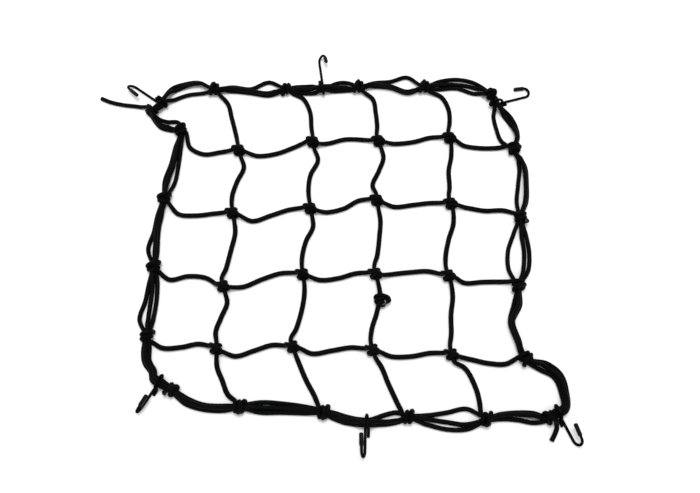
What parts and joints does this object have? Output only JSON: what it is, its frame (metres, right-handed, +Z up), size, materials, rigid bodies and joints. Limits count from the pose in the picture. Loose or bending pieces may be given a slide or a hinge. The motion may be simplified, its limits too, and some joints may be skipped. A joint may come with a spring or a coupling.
{
  "type": "elastic cargo net",
  "caption": "Knotted elastic cord net with a rim of side-by-side strands and wire hooks, for holding luggage down on a rack.",
  "frame": {"origin": "middle of the whole net's box, on the surface that it lies on", "axes": "+X to the right along the far side, +Y towards the far side, +Z up"},
  "size_m": [0.39, 0.3472, 0.0126],
  "materials": {
    "elastic_cord": "black braided sheath over an elastic core",
    "rim_cord": "black braided sheath over an elastic core",
    "hook_wire": "dark plated steel wire, glossy",
    "hook_tip": "black dipped vinyl, satin"
  },
  "bodies": {
    "root": {"net_mesh": "elastic_cord", "net_rim": "rim_cord", "hook_far_left_wire": "hook_wire", "hook_far_wire": "hook_wire", "hook_far_right_wire": "hook_wire", "hook_near_right_wire": "hook_wire", "hook_near_wire": "hook_wire", "hook_near_left_wire": "hook_wire", "hook_far_left_cap": "hook_tip", "hook_far_cap": "hook_tip", "hook_far_right_cap": "hook_tip", "hook_near_right_cap": "hook_tip", "hook_near_cap": "hook_tip", "hook_near_left_cap": "hook_tip"}
  },
  "joints": []
}
